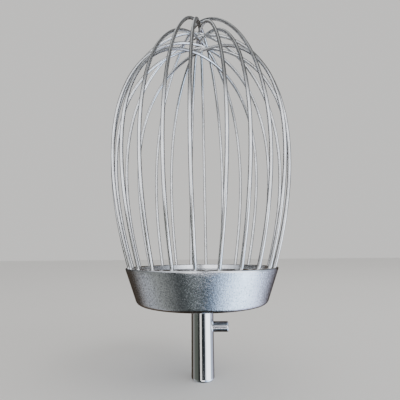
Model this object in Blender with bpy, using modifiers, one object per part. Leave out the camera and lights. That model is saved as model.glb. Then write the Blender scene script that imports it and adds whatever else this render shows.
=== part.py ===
"""Balloon whisk for a 30 litre planetary mixer.

A round stainless shank with a one-sided drive pin carries a cast aluminium
head.  Twenty-four wire ends stand in blind holes around the head's rim, and
twelve wire loops join opposite holes and cross over the axis, one above the
other, as an egg-shaped cage.

Frame: origin at the centre of the shank's end face, +Z along the axis towards
the cage's tip, +X along the drive pin.  Metres.
"""
import math

import bmesh
import bpy
from mathutils import Matrix, Vector

MM = 0.001

# ---- driving dimensions -------------------------------------------------
GAP = 0.3 * MM                  # clearance between touching pieces

SHANK_R = 10.6 * MM             # round shank, 21 mm
SHANK_LEN = 68.0 * MM           # end face to the head's underside
SHANK_CHAMFER = 1.4 * MM        # lead-in at the end face
SPIGOT_R = 8.0 * MM             # turned-down spigot inside the head
THREAD_R = 6.0 * MM             # threaded stub under the flush nut

PIN_R = 4.75 * MM               # drive pin, 9.5 mm
PIN_REACH = 14.0 * MM           # how far it stands out of the shank
PIN_BELOW_HEAD = 22.8 * MM      # axis, measured down from the underside
PIN_DEPTH = 14.0 * MM           # how deep it is pressed into the shank
PIN_CHAMFER = 1.0 * MM

HEAD_H = 33.0 * MM              # underside to rim
HEAD_R = 73.8 * MM              # outer radius at the rim, before rounding
HEAD_TAPER = math.radians(20)   # side slope, measured from the axis
RIM_EDGE_R = 2.0 * MM           # rounded upper edge
FOOT_EDGE_R = 5.0 * MM          # rounded lower edge
RECESS_R = 62.0 * MM            # machined recess inside the land
RECESS_DEPTH = 5.6 * MM

WELL_R = 17.0 * MM              # counterbore for the washer and nut
WELL_DEPTH = 11.0 * MM          # below the recess floor
WASHER_R = 15.0 * MM
WASHER_H = 2.0 * MM
NUT_CORNER_R = 12.0 * MM
NUT_H = 7.0 * MM

WIRES = 24                      # wire ends around the land
LOOPS = WIRES // 2
WIRE_R = 1.65 * MM              # 3.3 mm spring wire
HOLE_CIRCLE_R = 70.0 * MM
HOLE_DEPTH = 16.0 * MM
FIRST_WIRE = math.radians(-49.4)  # azimuth of wire 1, from -Y towards +X

WIRE_TILT = math.radians(17.5)  # wires leave the head leaning outwards
SHOULDER_REACH = 188.0 * MM     # handle of the profile curve at the head
CROWN_REACH = 47.0 * MM         # handle of the profile curve at the axis
CROWN_H = 255.0 * MM            # mean height of the crossings above the rim
CROSS_PITCH = 3.8 * MM          # one wire and a gap between two crossings
CROWN_EASE = 0.45               # a lower loop is this much broader at the top
# The loops were threaded in this order, lowest crossing first being 0.
CROSS_ORDER = (0, 5, 10, 9, 8, 4, 11, 1, 6, 2, 7, 3)
# Hand-set wires stand a little out of true: sideways bow of each loop's lower
# part, and lean of its crossing along its own plane, in mm.
BOW_MM = (0, 1, -1, -2, 4, 0, 1.5, -1.5, -2, -3, 0, 2)
LEAN_MM = (-5, 0, -4, -4, -4, 0, -4, 0, 0, 0, -3, 0)

TURN_STEPS = 72
RIM_Z = SHANK_LEN + HEAD_H
FLOOR_Z = RIM_Z - RECESS_DEPTH
WELL_Z = FLOOR_Z - WELL_DEPTH

# ---- scene, collections, materials --------------------------------------
for old in list(bpy.data.objects):
    bpy.data.objects.remove(old, do_unlink=True)

parts = bpy.data.collections.new("balloon_whisk")
cutters = bpy.data.collections.new("cutters")
bpy.context.scene.collection.children.link(parts)
bpy.context.scene.collection.children.link(cutters)


def material(name, colour, roughness, metallic=1.0):
    mat = bpy.data.materials.new(name)
    mat.use_nodes = True
    bsdf = mat.node_tree.nodes["Principled BSDF"]
    bsdf.inputs["Base Color"].default_value = (*colour, 1.0)
    bsdf.inputs["Roughness"].default_value = roughness
    bsdf.inputs["Metallic"].default_value = metallic
    return mat


def add(name, data, mat, collection=parts):
    obj = bpy.data.objects.new(name, data)
    collection.objects.link(obj)
    if mat is not None:
        data.materials.append(mat)
    if collection is cutters:
        obj.hide_render = True
        obj.display_type = "WIRE"
    return obj


# ---- shape helpers -------------------------------------------------------
def corner(before, at, after, radius, steps):
    """Points of a tangent arc that rounds the corner `at` of a profile."""
    before, at, after = Vector(before), Vector(at), Vector(after)
    a = (before - at).normalized()
    b = (after - at).normalized()
    half = a.angle(b) / 2
    centre = at + (a + b).normalized() * (radius / math.sin(half))
    start = at + a * (radius / math.tan(half)) - centre
    end = at + b * (radius / math.tan(half)) - centre
    sweep = start.angle(end)
    points = []
    for k in range(steps + 1):
        t = k / steps
        w = (start * math.sin((1 - t) * sweep) + end * math.sin(t * sweep)) / math.sin(sweep)
        points.append((centre.x + w.x, centre.y + w.y))
    return points


def turned(name, profile, mat, closed, steps=TURN_STEPS, collection=parts):
    """Solid of revolution about Z; `profile` is (radius, z), outer side downwards."""
    mesh = bpy.data.meshes.new(name)
    bm = bmesh.new()
    verts = [bm.verts.new((r, 0.0, z)) for r, z in profile]
    for a, b in zip(verts, verts[1:]):
        bm.edges.new((a, b))
    if closed:
        bm.edges.new((verts[-1], verts[0]))
    bm.to_mesh(mesh)
    bm.free()
    obj = add(name, mesh, mat, collection)
    screw = obj.modifiers.new("turn", "SCREW")
    screw.axis = "Z"
    screw.angle = math.tau
    screw.steps = screw.render_steps = steps
    screw.use_merge_vertices = True
    screw.merge_threshold = 0.00001
    screw.use_smooth_shade = True
    return obj


def cylinder(name, radius, length, mat, segments, collection=parts):
    """Round or many-sided bar on Z, its lower face at the origin."""
    mesh = bpy.data.meshes.new(name)
    bm = bmesh.new()
    bmesh.ops.create_cone(bm, cap_ends=True, segments=segments, radius1=radius,
                          radius2=radius, depth=length,
                          matrix=Matrix.Translation((0, 0, length / 2)))
    bm.to_mesh(mesh)
    bm.free()
    return add(name, mesh, mat, collection)


def cut(obj, cutter):
    boolean = obj.modifiers.new("cut_" + cutter.name, "BOOLEAN")
    boolean.operation = "DIFFERENCE"
    boolean.object = cutter


# ---- the loop's path -----------------------------------------------------
def loop_radial(index):
    """Horizontal direction of wire `index` (0 is wire 1)."""
    a = FIRST_WIRE + math.tau * index / WIRES
    return Vector((math.sin(a), -math.cos(a), 0.0))


def half_loop(loop, side, steps):
    """Centre line from the foot of the wire in its hole to the crossing."""
    out = loop_radial(loop) * side
    across = Vector((math.cos(FIRST_WIRE + math.tau * loop / WIRES),
                     math.sin(FIRST_WIRE + math.tau * loop / WIRES), 0.0))
    lift = CROSS_PITCH * (CROSS_ORDER[loop] - (LOOPS - 1) / 2)
    top = CROWN_H + lift
    crown = CROWN_REACH - CROWN_EASE * lift
    rise = SHOULDER_REACH * math.cos(WIRE_TILT)
    flare = HOLE_CIRCLE_R + SHOULDER_REACH * math.sin(WIRE_TILT)
    foot = HOLE_DEPTH - GAP
    points = [out * (HOLE_CIRCLE_R - foot * math.tan(WIRE_TILT))
              + Vector((0, 0, RIM_Z - foot))]
    for k in range(steps + 1):
        u = k / steps
        v = 1 - u
        r = v ** 3 * HOLE_CIRCLE_R + 3 * u * v * v * flare + 3 * u * u * v * crown
        z = 3 * u * v * v * rise + (3 * u * u * v + u ** 3) * top
        r += side * LEAN_MM[loop] * MM * u * u * (3 - 2 * u)
        bow = BOW_MM[loop] * MM * 6.75 * u * v * v
        points.append(out * r + across * bow + Vector((0, 0, RIM_Z + z)))
    return points


def wire_loop(name, loop, mat, steps=20):
    path = half_loop(loop, 1, steps)
    path += reversed(half_loop(loop, -1, steps)[:-1])
    curve = bpy.data.curves.new(name, "CURVE")
    curve.dimensions = "3D"
    curve.bevel_depth = WIRE_R
    curve.bevel_resolution = 2
    curve.use_fill_caps = True
    spline = curve.splines.new("POLY")
    spline.points.add(len(path) - 1)
    for point, co in zip(spline.points, path):
        point.co = (*co, 1.0)
    spline.use_smooth = True
    return add(name, curve, mat)


# ---- materials -----------------------------------------------------------
cast = material("cast_aluminium", (0.62, 0.64, 0.66), 0.45)
ground = material("ground_stainless", (0.70, 0.70, 0.69), 0.18)
polished = material("polished_pin", (0.74, 0.74, 0.75), 0.12)
drawn = material("drawn_wire", (0.72, 0.71, 0.69), 0.20)
plated = material("plated_fastener", (0.60, 0.60, 0.60), 0.32)

# ---- cast head -----------------------------------------------------------
rim_out = (HEAD_R, RIM_Z)
foot_r = HEAD_R - HEAD_H * math.tan(HEAD_TAPER)
foot = (foot_r, SHANK_LEN)
bore_r = SPIGOT_R + GAP
head_profile = (
    corner((0.06, RIM_Z), rim_out, foot, RIM_EDGE_R, 4)
    + corner(rim_out, foot, (0.03, SHANK_LEN), FOOT_EDGE_R, 4)
    + [(bore_r, SHANK_LEN), (bore_r, WELL_Z), (WELL_R, WELL_Z),
       (WELL_R, FLOOR_Z - 0.6 * MM), (WELL_R + 0.6 * MM, FLOOR_Z)]
    + corner((0.03, FLOOR_Z), (RECESS_R, FLOOR_Z), (RECESS_R, RIM_Z), 1.5 * MM, 2)
    + [(RECESS_R, RIM_Z - 0.5 * MM), (RECESS_R + 0.5 * MM, RIM_Z)]
)
head = turned("head", head_profile, cast, closed=True)

# All the blind wire holes are one cutter of separate tilted cylinders.
holes = bpy.data.meshes.new("wire_holes")
bm = bmesh.new()
hole_r = (WIRE_R + GAP) / math.cos(math.pi / 12)
above = 4.0 * MM
run = (HOLE_DEPTH + above) / math.cos(WIRE_TILT)
for index in range(WIRES):
    lean = Matrix.Rotation(WIRE_TILT, 4, loop_radial(index).cross((0, 0, -1)))
    place = Matrix.Translation(loop_radial(index) * HOLE_CIRCLE_R + Vector((0, 0, RIM_Z)))
    shift = Matrix.Translation((0, 0, (above - HOLE_DEPTH) / 2 / math.cos(WIRE_TILT)))
    bmesh.ops.create_cone(bm, cap_ends=True, segments=12, radius1=hole_r,
                          radius2=hole_r, depth=run, matrix=place @ lean @ shift)
bm.to_mesh(holes)
bm.free()
cut(head, add("wire_holes", holes, None, cutters))

# ---- shank, drive pin and the hidden fastening ---------------------------
tip_z = WELL_Z + WASHER_H + NUT_H + 1.6 * MM
shank_profile = [
    (0.0, tip_z), (THREAD_R - 0.8 * MM, tip_z), (THREAD_R, tip_z - 0.8 * MM),
    (THREAD_R, WELL_Z - 1.0 * MM), (SPIGOT_R, WELL_Z - 1.0 * MM),
    (SPIGOT_R, SHANK_LEN - GAP), (SHANK_R, SHANK_LEN - GAP),
    (SHANK_R, SHANK_CHAMFER), (SHANK_R - 0.35 * SHANK_CHAMFER, 0.35 * SHANK_CHAMFER),
    (SHANK_R - SHANK_CHAMFER, 0.0), (0.0, 0.0),
]
shank = turned("shank", shank_profile, ground, closed=False, steps=40)

pin_z = SHANK_LEN - PIN_BELOW_HEAD
pin_tip = SHANK_R + PIN_REACH
along_x = Matrix.Rotation(math.pi / 2, 4, "Y")
socket = cylinder("pin_socket", PIN_R + GAP, PIN_DEPTH + 6 * MM, None, 24, cutters)
socket.data.transform(Matrix.Translation((SHANK_R - PIN_DEPTH - GAP, 0, pin_z)) @ along_x)
cut(shank, socket)

pin_profile = [
    (0.0, PIN_DEPTH + PIN_REACH), (PIN_R - PIN_CHAMFER, PIN_DEPTH + PIN_REACH),
    (PIN_R - 0.3 * PIN_CHAMFER, PIN_DEPTH + PIN_REACH - 0.3 * PIN_CHAMFER),
    (PIN_R, PIN_DEPTH + PIN_REACH - PIN_CHAMFER),
    (PIN_R, 0.6 * MM), (PIN_R - 0.6 * MM, 0.0), (0.0, 0.0),
]
pin = turned("drive_pin", pin_profile, polished, closed=False, steps=24)
pin.rotation_euler = (0.0, math.pi / 2, 0.0)
pin.location = (SHANK_R - PIN_DEPTH, 0.0, pin_z)

washer_z = WELL_Z + GAP
washer_profile = [
    (WASHER_R, washer_z + WASHER_H), (WASHER_R, washer_z),
    (THREAD_R + 0.5 * MM, washer_z), (THREAD_R + 0.5 * MM, washer_z + WASHER_H),
]
turned("washer", washer_profile, plated, closed=True, steps=32)

nut = cylinder("nut", NUT_CORNER_R, NUT_H, plated, 6)
nut.data.transform(Matrix.Translation((0, 0, washer_z + WASHER_H + GAP)))
nut_bore = cylinder("nut_bore", THREAD_R + GAP, NUT_H + 8 * MM, None, 32, cutters)
nut_bore.data.transform(Matrix.Translation((0, 0, washer_z + WASHER_H - 3 * MM)))
cut(nut, nut_bore)

# ---- wire loops ----------------------------------------------------------
for loop in range(LOOPS):
    wire_loop("wire_loop_%02d" % (loop + 1), loop, drawn)

for obj in parts.objects:
    if obj.type == "MESH":
        obj.data.shade_smooth()
        obj.data.set_sharp_from_angle(angle=math.radians(35))
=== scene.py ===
# %% [markdown]
# # A balloon whisk for a planetary mixer
#
# The whisk is made of a turned steel shank with one drive pin, a cast
# aluminium head, and twelve spring-wire loops that cross over the axis. The
# imported model already holds every piece at its real size, as coarse solids.
# This notebook makes the fine surfaces and the metals. It starts by loading
# the imported model as a fixed frame, and keeps the frame's box.

# %% Load the frame
import math

import bmesh
import bpy
from mathutils import Matrix, Vector


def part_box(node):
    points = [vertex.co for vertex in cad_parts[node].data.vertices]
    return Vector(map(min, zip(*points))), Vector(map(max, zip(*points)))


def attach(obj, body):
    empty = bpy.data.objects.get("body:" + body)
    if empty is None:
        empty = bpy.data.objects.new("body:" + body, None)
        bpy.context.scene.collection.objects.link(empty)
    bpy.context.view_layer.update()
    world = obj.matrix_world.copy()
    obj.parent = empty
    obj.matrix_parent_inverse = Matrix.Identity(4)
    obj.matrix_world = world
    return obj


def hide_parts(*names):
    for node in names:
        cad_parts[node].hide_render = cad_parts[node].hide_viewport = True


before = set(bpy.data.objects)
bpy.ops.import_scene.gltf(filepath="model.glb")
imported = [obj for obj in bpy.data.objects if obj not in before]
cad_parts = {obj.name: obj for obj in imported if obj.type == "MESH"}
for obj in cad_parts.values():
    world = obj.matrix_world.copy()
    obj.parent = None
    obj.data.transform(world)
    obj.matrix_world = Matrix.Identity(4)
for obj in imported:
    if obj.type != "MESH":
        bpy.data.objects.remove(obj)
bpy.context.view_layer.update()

MM = 0.001

# %% [markdown]
# ## Where things are
#
# The whisk's axis is Z and the shank's end face is at zero. The heights of the
# head, the washer and the nut, and the radius of the shank, are read from the
# frame. What the boxes can't say, such as the taper of the head or the curve
# of the wires, is stated here once as a handful of numbers.

# %% Read the sizes
head_low, head_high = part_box("head")
shank_low, shank_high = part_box("shank")
pin_low, pin_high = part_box("drive_pin")
washer_low, washer_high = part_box("washer")
nut_low, nut_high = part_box("nut")

RIM_Z = head_high.z
FOOT_Z = head_low.z
SHANK_R = shank_high.x
PIN_R = (pin_high.z - pin_low.z) / 2
PIN_Z = (pin_high.z + pin_low.z) / 2

HEAD_R = 73.8 * MM
HEAD_TAPER = math.radians(20)
RECESS_R = 62.0 * MM
FLOOR_Z = RIM_Z - 5.6 * MM
WELL_R = 17.0 * MM
WELL_Z = FLOOR_Z - 11.0 * MM
WIRE_R = 1.65 * MM
HOLE_CIRCLE_R = 70.0 * MM
HOLE_DEPTH = 16.0 * MM
HOLE_GAP = 0.3 * MM
WIRE_TILT = math.radians(17.5)
print("rim at", round(RIM_Z / MM, 1), "mm, pin at", round(PIN_Z / MM, 1), "mm")

# %% [markdown]
# ## Helpers for making solids
#
# Nearly every piece here is round, so `turn` works as a lathe does: it takes
# a sharp profile of radius and height and spins it round Z. Before that,
# `steadied` adds points near the ends of the long sides. The corners are
# rounded afterwards by `break_edge`, with a bevel on the rings that they make.
# `place` puts the mesh in the scene, with its place in its vertices.

# %% Lathe, edge breaker and placer
def steadied(profile, reach):
    """Add a point near both ends of each long side, so its shading stays flat."""
    points = []
    for here, there in zip(profile, profile[1:]):
        here, there = Vector(here), Vector(there)
        points.append(here)
        if (there - here).length > 3 * reach:
            step = (there - here).normalized() * reach
            points += [here + step, there - step]
    return points + [Vector(profile[-1])]


def turn(profile, steps, reach=2.5 * MM):
    """Spin a closed or axis-to-axis profile of (radius, height) round Z."""
    bm = bmesh.new()
    if profile[0][0] > 0:
        profile = profile + profile[:1]
    ring = [bm.verts.new((r, 0, z)) for r, z in steadied(profile, reach)]
    for a, b in zip(ring, ring[1:]):
        bm.edges.new((a, b))
    bmesh.ops.spin(bm, geom=bm.verts[:] + bm.edges[:], cent=(0, 0, 0), axis=(0, 0, 1),
                   angle=math.tau, steps=steps, use_merge=True)
    bmesh.ops.remove_doubles(bm, verts=bm.verts[:], dist=1e-6)
    bmesh.ops.recalc_face_normals(bm, faces=bm.faces[:])
    return bm


def break_edge(bm, radius, height, width, segments=3):
    """Round the ring of edges at (radius, height)."""
    def on_ring(vert):
        return (abs(math.hypot(vert.co.x, vert.co.y) - radius) < 1e-5
                and abs(vert.co.z - height) < 1e-5)
    ring = [e for e in bm.edges if all(on_ring(v) for v in e.verts)]
    bmesh.ops.bevel(bm, geom=ring, offset=width, offset_type="OFFSET", affect="EDGES",
                    segments=segments, profile=0.5, material=-1, clamp_overlap=True)


def place(bm, name, finish, slot, *nodes, sharp=35):
    """Make the object, hand it its finish and put it in the CAD nodes' stead."""
    mesh = bpy.data.meshes.new(name)
    bm.to_mesh(mesh)
    bm.free()
    mesh.materials.append(finish)
    mesh.shade_smooth()
    mesh.set_sharp_from_angle(angle=math.radians(sharp))
    piece = bpy.data.objects.new(name, mesh)
    bpy.context.scene.collection.objects.link(piece)
    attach(piece, "root")
    if nodes:
        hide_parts(*nodes)
    print(name, len(mesh.polygons), "faces")
    return piece


# %% [markdown]
# ## Writing a metal as an expression
#
# A finish is a few patterns added together. Wrapping a socket in a small
# class lets those sums be written as Python: `1 - mask * 0.5` adds the Math
# nodes itself. Everything that isn't plain arithmetic goes through one `add`,
# which makes a node, sets its options first and then its sockets.

# %% Socket arithmetic
class Wired:
    """A node's output that can be used in Python sums."""

    def __init__(self, recipe, socket):
        self.recipe, self.socket = recipe, socket

    def sum_with(self, operation, *values):
        return self.recipe.add("ShaderNodeMath", {"operation": operation},
                               dict(enumerate(values)))

    def __add__(self, other): return self.sum_with("ADD", self, other)
    def __radd__(self, other): return self.sum_with("ADD", other, self)
    def __sub__(self, other): return self.sum_with("SUBTRACT", self, other)
    def __rsub__(self, other): return self.sum_with("SUBTRACT", other, self)
    def __mul__(self, other): return self.sum_with("MULTIPLY", self, other)
    def __rmul__(self, other): return self.sum_with("MULTIPLY", other, self)
    def __truediv__(self, other): return self.sum_with("DIVIDE", self, other)
    def __pow__(self, other): return self.sum_with("POWER", self, other)


class Recipe:
    """Adds nodes to a material's or a world's tree."""

    def __init__(self, tree):
        self.tree = tree

    def add(self, kind, settings=None, sockets=None, output=0):
        node = self.tree.nodes.new(kind)
        for name, value in (settings or {}).items():
            if name == "stops":
                ramp = node.color_ramp
                while len(ramp.elements) < len(value):
                    ramp.elements.new(0.5)
                for stop, (position, colour) in zip(ramp.elements, value):
                    stop.position, stop.color = position, (*colour, 1.0)
            else:
                setattr(node, name, value)
        for name, value in (sockets or {}).items():
            if isinstance(value, Wired):
                self.tree.links.new(value.socket, node.inputs[name])
            else:
                node.inputs[name].default_value = value
        return Wired(self, node.outputs[output])

    def split(self, vector):
        """The x, y and z of a vector, each ready for sums."""
        x = self.add("ShaderNodeSeparateXYZ", {}, {0: vector})
        return x, *(Wired(self, x.socket.node.outputs[i]) for i in (1, 2))

    def fade(self, value, low, high):
        """0 below low, 1 above high, smooth between."""
        return self.add("ShaderNodeMapRange", {"interpolation_type": "SMOOTHSTEP"},
                        {0: value, 1: low, 2: high, 3: 0.0, 4: 1.0})

    def noise(self, where, scale, detail=3.0, roughness=0.5):
        return self.add("ShaderNodeTexNoise", {}, {"Vector": where, "Scale": scale,
                        "Detail": detail, "Roughness": roughness})

    def stretch(self, where, scale):
        return self.add("ShaderNodeMapping", {}, {"Vector": where, "Scale": scale})

    def blend(self, amount, low, high):
        """A colour between two colours."""
        node = self.tree.nodes.new("ShaderNodeMix")
        node.data_type = "RGBA"
        for slot, value in ((0, amount), (6, low), (7, high)):
            if isinstance(value, Wired):
                self.tree.links.new(value.socket, node.inputs[slot])
            elif slot == 0:
                node.inputs[slot].default_value = value
            else:
                node.inputs[slot].default_value = (*value, 1.0)
        return Wired(self, node.outputs[2])


def metal(name):
    """A new metal finish: its recipe, its place coordinates and its shader."""
    made = bpy.data.materials.new(name)
    made.use_nodes = True
    recipe = Recipe(made.node_tree)
    shader = made.node_tree.nodes["Principled BSDF"]
    shader.inputs["Metallic"].default_value = 1.0
    here = recipe.add("ShaderNodeTexCoord", output=3)
    return made, recipe, here, shader


def connect(recipe, shader, colour=None, rough=None, height=None, depth=0.0, reach=0.3):
    """Feed colour, roughness and a bump height (in metres) to the shader."""
    if colour is not None:
        recipe.tree.links.new(colour.socket, shader.inputs["Base Color"])
    if rough is not None:
        recipe.tree.links.new(rough.socket, shader.inputs["Roughness"])
    if height is not None:
        bump = recipe.add("ShaderNodeBump", {}, {"Strength": reach, "Distance": depth,
                                                 "Height": height})
        recipe.tree.links.new(bump.socket, shader.inputs["Normal"])


# %% [markdown]
# ## The casting
#
# The head is cast aluminium, tumbled or blasted all over, so its side breaks a
# reflection into light and dark grains about a millimetre across, with a few
# deeper pores. The upper edge was turned clean after casting and shines.
# The land and the recess inside it are turned too: fine rings round the axis.
# One material holds all three, told apart by height and radius.

# %% Cast and turned aluminium
casting, recipe, here, shader = metal("blasted_casting")
x, y, z = recipe.split(here)
radius = (x * x + y * y) ** 0.5

grain = recipe.noise(here, 900.0, 3.0, 0.6)
coarse = recipe.noise(here, 210.0, 2.0, 0.5)
pores = recipe.add("ShaderNodeTexVoronoi", {}, {"Vector": here, "Scale": 420.0})
pores = 1 - recipe.fade(pores, 0.10, 0.30)
smudge = recipe.noise(here, 28.0, 3.0, 0.55)

edge = recipe.fade(z, RIM_Z - 1.9 * MM, RIM_Z - 1.3 * MM)
inside = 1 - recipe.fade(radius, RECESS_R + 0.2 * MM, RECESS_R + 1.0 * MM)
turned = edge + inside * recipe.fade(z, FOOT_Z + 6 * MM, FOOT_Z + 8 * MM) * (1 - edge)
RING_PITCH = 0.55 * MM
turns = radius * (math.tau / RING_PITCH)
rings = turns.sum_with("SINE", turns)

cast_height = (grain * 0.9 + coarse * 0.3 - pores * 0.4) * (1 - turned) + rings * turned * 0.005
cast_rough = (0.15 + smudge * 0.08 + coarse * 0.06) * (1 - turned) + turned * (0.16 + smudge * 0.08)
cast_tone = recipe.fade(grain * 0.75 + smudge * 0.25 - pores * 0.3, 0.34, 0.62)
cast_colour = recipe.blend(cast_tone, (0.50, 0.51, 0.52), (0.90, 0.91, 0.92))
cast_colour = recipe.blend(turned, cast_colour, (0.78, 0.79, 0.80))
connect(recipe, shader, cast_colour, cast_rough, cast_height, 0.5 * MM, 0.35)
print("casting:", len(casting.node_tree.nodes), "nodes")

# %% [markdown]
# ## The steels
#
# The shank is ground stainless: its reflections stay sharp along its length
# and are only slightly broken round it, by grinding lines that run round the
# bar, and by faint scratches along it from being pushed into the socket. The
# pin is polished. The wire is drawn through a die, which leaves lines along
# it: the lines follow the wire, so they are read from the wire's own UV map,
# and everything else from the place in the object.

# %% Ground, polished and drawn steel
ground, recipe, here, shader = metal("ground_stainless")
lines = recipe.noise(recipe.stretch(here, (9.0, 9.0, 4200.0)), 1.0, 2.0)
scuffs = recipe.noise(recipe.stretch(here, (900.0, 900.0, 22.0)), 1.0, 2.0)
smear = recipe.noise(here, 45.0, 2.0)
scuffed = recipe.fade(scuffs, 0.62, 0.72) * recipe.fade(smear, 0.45, 0.65)
connect(recipe, shader,
        recipe.blend(smear, (0.70, 0.70, 0.69), (0.80, 0.80, 0.79)),
        0.07 + smear * 0.05 + scuffed * 0.12, lines * 0.5 + scuffed * -0.4, 0.02 * MM, 0.25)

polished, recipe, here, shader = metal("polished_pin")
smear = recipe.noise(here, 160.0, 2.0)
connect(recipe, shader, recipe.blend(smear, (0.74, 0.74, 0.75), (0.82, 0.82, 0.83)),
        0.20 + smear * 0.05, smear, 0.02 * MM, 0.2)

drawn, recipe, here, shader = metal("drawn_wire")
along = recipe.add("ShaderNodeUVMap", {"uv_map": "along"})
die_lines = recipe.noise(recipe.stretch(along, (7.0, 0.6, 1.0)), 1.0, 2.0)
stain = recipe.noise(here, 60.0, 3.0)
worn = recipe.fade(recipe.noise(recipe.stretch(along, (1.5, 2.5, 1.0)), 1.0, 2.0), 0.55, 0.75)
connect(recipe, shader,
        recipe.blend(recipe.fade(stain, 0.35, 0.7), (0.70, 0.69, 0.67), (0.86, 0.86, 0.85)),
        0.17 + stain * 0.06 + worn * 0.06, die_lines, 0.02 * MM, 0.1)

plain, recipe, here, shader = metal("plain_fastener")
blotch = recipe.noise(here, 220.0, 3.0)
connect(recipe, shader, recipe.blend(blotch, (0.50, 0.50, 0.50), (0.66, 0.66, 0.65)),
        0.26 + blotch * 0.14, blotch, 0.05 * MM, 0.3)
print("steels:", [m.name for m in (ground, polished, drawn, plain)])

# %% [markdown]
# ## The path of a wire
#
# Each loop lies close to a plane through the axis. One half of it is a single
# Bezier curve: it leaves the head leaning outwards, bellies out and arrives
# level at the axis. Twelve wires can't cross at one point, so every crossing
# is one wire and a gap above the last, in the order in which the loops were
# threaded, and a lower loop is broader at the top because all are cut to much
# the same length. The wires stand slightly out of true, so some loops have a
# sideways bow, or a crossing that is shifted a few millimetres along their plane.

# %% Loop paths
LOOPS = 12
FIRST_WIRE = math.radians(-49.4)
SHOULDER_REACH = 188.0 * MM
CROWN_REACH = 47.0 * MM
CROWN_H = 255.0 * MM
CROSS_PITCH = 3.8 * MM
CROWN_EASE = 0.45
CROSS_ORDER = (0, 5, 10, 9, 8, 4, 11, 1, 6, 2, 7, 3)
BOW_MM = (0, 1, -1, -2, 4, 0, 1.5, -1.5, -2, -3, 0, 2)
LEAN_MM = (-5, 0, -4, -4, -4, 0, -4, 0, 0, 0, -3, 0)


def spoke(index):
    """The level direction from the axis to wire end `index` of 24."""
    a = FIRST_WIRE + math.tau * index / (2 * LOOPS)
    return Vector((math.sin(a), -math.cos(a), 0.0))


def half_path(loop, side, steps):
    out = spoke(loop) * side
    across = Vector((-spoke(loop).y, spoke(loop).x, 0.0))
    lift = CROSS_PITCH * (CROSS_ORDER[loop] - (LOOPS - 1) / 2)
    crown = CROWN_REACH - CROWN_EASE * lift
    rise = SHOULDER_REACH * math.cos(WIRE_TILT)
    flare = HOLE_CIRCLE_R + SHOULDER_REACH * math.sin(WIRE_TILT)
    sunk = HOLE_DEPTH - HOLE_GAP
    path = [out * (HOLE_CIRCLE_R - sunk * math.tan(WIRE_TILT)) + Vector((0, 0, RIM_Z - sunk))]
    for k in range(steps + 1):
        u = k / steps
        v = 1 - u
        r = v ** 3 * HOLE_CIRCLE_R + 3 * u * v * v * flare + 3 * u * u * v * crown
        height = 3 * u * v * v * rise + (3 * u * u * v + u ** 3) * (CROWN_H + lift)
        r += side * LEAN_MM[loop] * MM * u * u * (3 - 2 * u)
        bow = BOW_MM[loop] * MM * 6.75 * u * v * v
        path.append(out * r + across * bow + Vector((0, 0, RIM_Z + height)))
    return path


def loop_path(loop, steps=60):
    return half_path(loop, 1, steps) + half_path(loop, -1, steps)[-2::-1]


print("first loop:", len(loop_path(0)), "stations")

# %% [markdown]
# ## Drawing the wires
#
# A wire could be a curve with a round bevel, but its UVs would then follow
# the curve's own spacing. Extruding a ring along the path gives the same tube
# with full control: the ring is carried from station to station, turned only
# as much as the path turns, so it doesn't twist, and the length so far is
# written into the UV map, where the drawing lines of the finish read it.

# %% Extrude a ring along each path
def draw_wire(path, radius, sides=20):
    bm = bmesh.new()
    uv = bm.loops.layers.uv.new("along")
    heading = (path[1] - path[0]).normalized()
    mark = heading.orthogonal().normalized()
    start = Matrix.Translation(path[0]) @ heading.to_track_quat("Z", "Y").to_matrix().to_4x4()
    bmesh.ops.create_circle(bm, cap_ends=True, segments=sides, radius=radius, matrix=start)
    ring = [e for e in bm.edges if e.is_boundary]
    run = 0.0
    for k in range(1, len(path)):
        ahead = path[min(k + 1, len(path) - 1)] - path[k - 1]
        new = bmesh.ops.extrude_edge_only(bm, edges=ring)["geom"]
        verts = [g for g in new if isinstance(g, bmesh.types.BMVert)]
        faces = [g for g in new if isinstance(g, bmesh.types.BMFace)]
        ring = [g for g in new if isinstance(g, bmesh.types.BMEdge) and g.is_boundary]
        swing = heading.rotation_difference(ahead.normalized()).to_matrix().to_4x4()
        fresh_mark = swing @ mark
        move = Matrix.Translation(path[k]) @ swing @ Matrix.Translation(-path[k - 1])
        bmesh.ops.transform(bm, matrix=move, verts=verts)
        step = (path[k] - path[k - 1]).length
        fresh = set(verts)
        for face in faces:
            seen = []
            for corner in face.loops:
                new_end = corner.vert in fresh
                arm = corner.vert.co - path[k if new_end else k - 1]
                front, side = (fresh_mark, ahead) if new_end else (mark, heading)
                turn_at = math.atan2(arm.dot(side.normalized().cross(front)), arm.dot(front))
                if seen and turn_at - seen[0] > math.pi:
                    turn_at -= math.tau
                elif seen and turn_at - seen[0] < -math.pi:
                    turn_at += math.tau
                seen.append(turn_at)
                corner[uv].uv = (turn_at, (run + step if new_end else run) / 0.01)
        heading, mark, run = ahead.normalized(), fresh_mark, run + step
    bmesh.ops.contextual_create(bm, geom=ring)
    bmesh.ops.recalc_face_normals(bm, faces=bm.faces[:])
    return bm, run


for loop in range(LOOPS):
    bm, length = draw_wire(loop_path(loop), WIRE_R)
    name = "wire_%02d" % (loop + 1)
    place(bm, name, drawn, "wire", "wire_loop_%02d" % (loop + 1))
    print("   cut length", round(length / MM), "mm")

# %% [markdown]
# ## The head
#
# The head could be cut from a cylinder by hand, but the real one was turned, so
# this one is too: a sharp closed profile is spun, and its rings are rounded, the
# lower edge most. The twenty-four holes are drilled with a Boolean, because
# they lean outwards with the wires.

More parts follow.
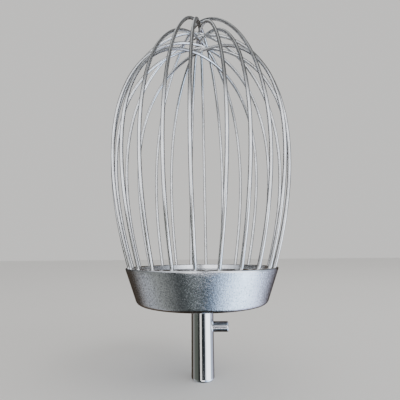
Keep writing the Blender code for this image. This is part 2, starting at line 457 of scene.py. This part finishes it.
# %% Turn and drill the head
foot_r = HEAD_R - (RIM_Z - FOOT_Z) * math.tan(HEAD_TAPER)
bore_r = 8.1 * MM
bm = turn([(RECESS_R, RIM_Z), (HEAD_R, RIM_Z), (foot_r, FOOT_Z), (bore_r, FOOT_Z),
           (bore_r, WELL_Z), (WELL_R, WELL_Z), (WELL_R, FLOOR_Z), (RECESS_R, FLOOR_Z)], 192,
          reach=5 * MM)
break_edge(bm, HEAD_R, RIM_Z, 1.4 * MM, 5)
break_edge(bm, foot_r, FOOT_Z, 3.5 * MM, 7)
break_edge(bm, RECESS_R, RIM_Z, 0.5 * MM, 2)
break_edge(bm, RECESS_R, FLOOR_Z, 1.5 * MM, 4)
break_edge(bm, WELL_R, FLOOR_Z, 0.6 * MM, 2)
head = place(bm, "cast_head", casting, "cast", "head")

drill = bmesh.new()
for end in range(2 * LOOPS):
    lean = Matrix.Rotation(WIRE_TILT, 4, spoke(end).cross((0, 0, -1)))
    mouth = Matrix.Translation(spoke(end) * HOLE_CIRCLE_R + Vector((0, 0, RIM_Z))) @ lean
    bmesh.ops.create_cone(drill, cap_ends=True, segments=24, radius1=WIRE_R + 0.08 * MM,
                          radius2=WIRE_R + 0.08 * MM, depth=HOLE_DEPTH / math.cos(WIRE_TILT) + 4 * MM,
                          matrix=mouth @ Matrix.Translation((0, 0, 2 * MM - HOLE_DEPTH / 2)))
cutter_mesh = bpy.data.meshes.new("drill")
drill.to_mesh(cutter_mesh)
drill.free()
cutter = bpy.data.objects.new("drill", cutter_mesh)
bpy.context.scene.collection.objects.link(cutter)


def carve(piece, cutter):
    """Cut and keep the result as the piece's own mesh, then drop the cutter."""
    cut = piece.modifiers.new("cut", "BOOLEAN")
    cut.operation, cut.object, cut.solver = "DIFFERENCE", cutter, "EXACT"
    bpy.context.view_layer.update()
    ready = piece.evaluated_get(bpy.context.evaluated_depsgraph_get())
    mesh = bpy.data.meshes.new_from_object(ready)
    piece.modifiers.remove(cut)
    piece.data = mesh
    mesh.shade_smooth()
    mesh.set_sharp_from_angle(angle=math.radians(35))
    bpy.data.objects.remove(cutter)


carve(head, cutter)
print("drilled head:", len(head.data.polygons), "faces")

# %% [markdown]
# ## The shank and its pin
#
# The shank is one bar with three diameters: the part that the mixer holds, the
# spigot inside the head and the stub that takes the nut. Its end has a small
# lead-in. The pin stands in a blind cross hole, so the hole is cut for it, a
# hair wider than the pin, and the pin's tip is rounded over.

# %% Turn the shank and the pin
STUB_R = 6.0 * MM
top_z = shank_high.z
bm = turn([(0, top_z), (STUB_R, top_z), (STUB_R, WELL_Z - MM), (8 * MM, WELL_Z - MM),
           (8 * MM, FOOT_Z - 0.3 * MM), (SHANK_R, FOOT_Z - 0.3 * MM), (SHANK_R, 0), (0, 0)], 96)
break_edge(bm, SHANK_R, 0, 1.3 * MM, 4)
break_edge(bm, STUB_R, top_z, 0.8 * MM, 2)
shank = place(bm, "ground_shank", ground, "shank", "shank")

socket = bmesh.new()
bmesh.ops.create_cone(socket, cap_ends=True, segments=48, radius1=PIN_R + 0.06 * MM,
                      radius2=PIN_R + 0.06 * MM, depth=20 * MM,
                      matrix=Matrix.Translation((pin_low.x + 9.7 * MM, 0, PIN_Z))
                      @ Matrix.Rotation(math.pi / 2, 4, "Y"))
socket_mesh = bpy.data.meshes.new("socket")
socket.to_mesh(socket_mesh)
socket.free()
socket = bpy.data.objects.new("socket", socket_mesh)
bpy.context.scene.collection.objects.link(socket)
carve(shank, socket)

pin_length = pin_high.x - pin_low.x
bm = turn([(0, pin_length), (PIN_R, pin_length), (PIN_R, 0), (0, 0)], 64)
break_edge(bm, PIN_R, pin_length, 1.1 * MM, 5)
break_edge(bm, PIN_R, 0, 0.5 * MM, 2)
bmesh.ops.transform(bm, matrix=Matrix.Translation((pin_low.x, 0, PIN_Z))
                    @ Matrix.Rotation(math.pi / 2, 4, "Y"), verts=bm.verts[:])
place(bm, "polished_pin", polished, "pin", "drive_pin")

# %% [markdown]
# ## The nut and the washer
#
# These sit in the well in the middle of the recess and show only from above.
# A nut is a six-sided bar whose corners were turned off at both faces. Here
# the bar is a six-sided cone tool of equal ends, its rim is bevelled, and the
# bore is cut through it.

# %% Washer and nut
bm = turn([(6.5 * MM, washer_high.z), (washer_high.x, washer_high.z),
           (washer_high.x, washer_low.z), (6.5 * MM, washer_low.z)], 96)
break_edge(bm, washer_high.x, washer_high.z, 0.4 * MM, 2)
place(bm, "plain_washer", plain, "fastener", "washer")

bm = bmesh.new()
corner_r = max(nut_high.x, nut_high.y)
bmesh.ops.create_cone(bm, cap_ends=True, segments=6, radius1=corner_r, radius2=corner_r,
                      depth=nut_high.z - nut_low.z,
                      matrix=Matrix.Translation((0, 0, (nut_high.z + nut_low.z) / 2)))
rim = [e for e in bm.edges if abs(e.verts[0].co.z - e.verts[1].co.z) < 1e-6]
bmesh.ops.bevel(bm, geom=rim, offset=0.7 * MM, offset_type="OFFSET", affect="EDGES",
                segments=2, profile=0.5, material=-1)
nut = place(bm, "plain_nut", plain, "fastener", "nut")
bore = bmesh.new()
bmesh.ops.create_cone(bore, cap_ends=True, segments=48, radius1=STUB_R + 0.1 * MM,
                      radius2=STUB_R + 0.1 * MM, depth=20 * MM,
                      matrix=Matrix.Translation((0, 0, nut_high.z)))
bore_mesh = bpy.data.meshes.new("bore")
bore.to_mesh(bore_mesh)
bore.free()
bore = bpy.data.objects.new("bore", bore_mesh)
bpy.context.scene.collection.objects.link(bore)
carve(nut, bore)

# %% [markdown]
# ## Floor, light and surroundings
#
# Bare metal shows what stands round it, so the surroundings matter as much as
# the lamps. The camera sees a plain pale floor and a plain pale room. The
# metal sees three rings of tones, one above the other: the lowest shows in the
# tapered side of the head, the level one in the shank and the upper one in the
# wires. Each has a window to the right, greys to the left and deep brown behind,
# which gives every wire a dark outline. A low card lights the pin, a strip
# overhead lights the crown, and the floor is left out of the reflections.

# %% Pale floor
bm = bmesh.new()
bmesh.ops.create_grid(bm, x_segments=4, y_segments=4, size=6.0)
bmesh.ops.translate(bm, vec=(0, 0, -0.2 * MM), verts=bm.verts[:])
mesh = bpy.data.meshes.new("floor")
bm.to_mesh(mesh)
bm.free()
floor = bpy.data.objects.new("floor", mesh)
bpy.context.scene.collection.objects.link(floor)
pale = bpy.data.materials.new("pale_floor")
pale.use_nodes = True
recipe = Recipe(pale.node_tree)
here = recipe.add("ShaderNodeTexCoord", output=3)
shader = pale.node_tree.nodes["Principled BSDF"]
shader.inputs["Roughness"].default_value = 0.9
connect(recipe, shader, recipe.blend(recipe.noise(here, 3.0), (0.82, 0.81, 0.80), (0.85, 0.845, 0.83)))
mesh.materials.append(pale)
floor.visible_glossy = False

# %% Surroundings
world = bpy.data.worlds.new("studio")
bpy.context.scene.world = world
world.use_nodes = True
recipe = Recipe(world.node_tree)
direction = recipe.add("ShaderNodeTexCoord", output=0)
x, y, z = recipe.split(direction)
azimuth = x.sum_with("ARCTAN2", x, y * -1.0) / math.tau + 0.5


def at(degrees):
    return degrees / 360.0 + 0.5


def ring(*stops):
    """A ring of tones round the whisk, as (azimuth, colour) pairs."""
    return recipe.add("ShaderNodeValToRGB",
                      {"stops": [(at(degrees), colour) for degrees, colour in stops]},
                      {0: azimuth})


BEHIND = (0.055, 0.042, 0.032)
SHADE = (0.015, 0.016, 0.018)
below = ring(
    (-180, BEHIND), (-136, (0.10, 0.065, 0.04)), (-116, (0.42, 0.42, 0.42)),
    (-104, (0.60, 0.64, 0.76)), (-90, (0.36, 0.38, 0.37)), (-58, (0.20, 0.21, 0.21)),
    (-40, (0.06, 0.07, 0.075)), (-24, (0.07, 0.08, 0.085)), (-12, (0.34, 0.39, 0.40)),
    (0, (0.09, 0.11, 0.13)), (14, (0.05, 0.075, 0.10)), (32, (0.60, 0.80, 1.15)),
    (55, (1.7, 2.2, 3.0)), (78, (3.0, 3.8, 4.8)), (100, (1.6, 1.9, 2.6)),
    (130, (1.0, 1.0, 1.3)), (150, BEHIND), (180, BEHIND))
level = ring(
    (-180, BEHIND), (-122, BEHIND), (-110, (0.32, 0.32, 0.32)), (-94, (0.26, 0.27, 0.26)),
    (-80, (0.14, 0.155, 0.14)), (-50, (0.12, 0.135, 0.12)), (-40, SHADE), (-28, SHADE),
    (-24, (1.5, 1.5, 1.5)), (-12, (1.5, 1.5, 1.5)), (-9, (0.03, 0.035, 0.04)),
    (22, (0.03, 0.04, 0.05)), (42, (3.2, 3.4, 3.8)), (80, (3.0, 3.3, 3.8)),
    (90, (0.8, 0.92, 1.15)), (114, (0.65, 0.72, 0.95)), (134, (0.30, 0.28, 0.33)),
    (146, BEHIND), (180, BEHIND))
above = ring(
    (-180, BEHIND), (-130, (0.05, 0.05, 0.05)), (-92, (0.07, 0.075, 0.08)),
    (-52, (1.5, 1.55, 1.7)), (-30, (2.4, 2.45, 2.6)), (-3, (2.5, 2.55, 2.7)), (0, SHADE),
    (8, SHADE), (11, (2.5, 2.6, 2.8)), (28, (2.6, 2.7, 2.9)),
    (66, (0.60, 0.66, 0.78)), (90, (0.16, 0.17, 0.19)), (125, (0.07, 0.07, 0.08)),
    (150, BEHIND), (180, BEHIND))
table = recipe.blend(recipe.fade(z, -0.93, -0.82), (0.03, 0.028, 0.025), below)
facing = recipe.fade(azimuth, at(-20), at(-10)) * (1 - recipe.fade(azimuth, at(16), at(26)))
low_card = recipe.blend(facing * recipe.fade(z, -0.54, -0.49), table, (3.2, 3.2, 3.5))
lamp_strip = recipe.fade(x, -0.32, -0.22) * (1 - recipe.fade(x, -0.12, -0.02))
overhead = recipe.blend(lamp_strip, (0.17, 0.175, 0.18), (0.95, 0.98, 1.02))
seen_by_metal = recipe.blend(recipe.fade(z, -0.44, -0.39), low_card, level)
seen_by_metal = recipe.blend(recipe.fade(z, -0.15, -0.08), seen_by_metal, above)
seen_by_metal = recipe.blend(recipe.fade(z, 0.52, 0.78), seen_by_metal, overhead)
ray = recipe.add("ShaderNodeLightPath")
glossy = Wired(recipe, ray.socket.node.outputs["Is Glossy Ray"])
colour = recipe.blend(glossy, (0.78, 0.77, 0.75), seen_by_metal)
background = world.node_tree.nodes["Background"]
world.node_tree.links.new(colour.socket, background.inputs["Color"])
background.inputs["Strength"].default_value = 1.0

# %% Softbox
lamp = bpy.data.lights.new("softbox", "AREA")
lamp.shape, lamp.size, lamp.size_y, lamp.energy = "RECTANGLE", 1.2, 0.9, 14.0
softbox = bpy.data.objects.new("softbox", lamp)
softbox.location = (1.3, -0.8, 1.6)
softbox.rotation_euler = (Vector((0, 0, 0.15)) - softbox.location).to_track_quat("-Z", "Y").to_euler()
softbox.visible_glossy = False
bpy.context.scene.collection.objects.link(softbox)

# %% [markdown]
# ## The camera
#
# The camera stands close, a little above the rim, and is pitched up towards
# the cage's tip, with a short lens. That near view is what makes the far wires
# of the cage look so much closer together than the near ones.

# %% Camera
lens = bpy.data.cameras.new("camera")
lens.sensor_width, lens.lens = 36.0, 26.64
lens.clip_start, lens.clip_end = 0.01, 50.0
camera = bpy.data.objects.new("camera", lens)
camera.matrix_world = (Matrix.Translation((-1.3 * MM, -299.6 * MM, RIM_Z + 12.5 * MM))
                       @ Matrix.Rotation(math.radians(90 + 10.32), 4, "X")
                       @ Matrix.Rotation(math.radians(-0.5), 4, "Z"))
bpy.context.scene.collection.objects.link(camera)
bpy.context.scene.camera = camera
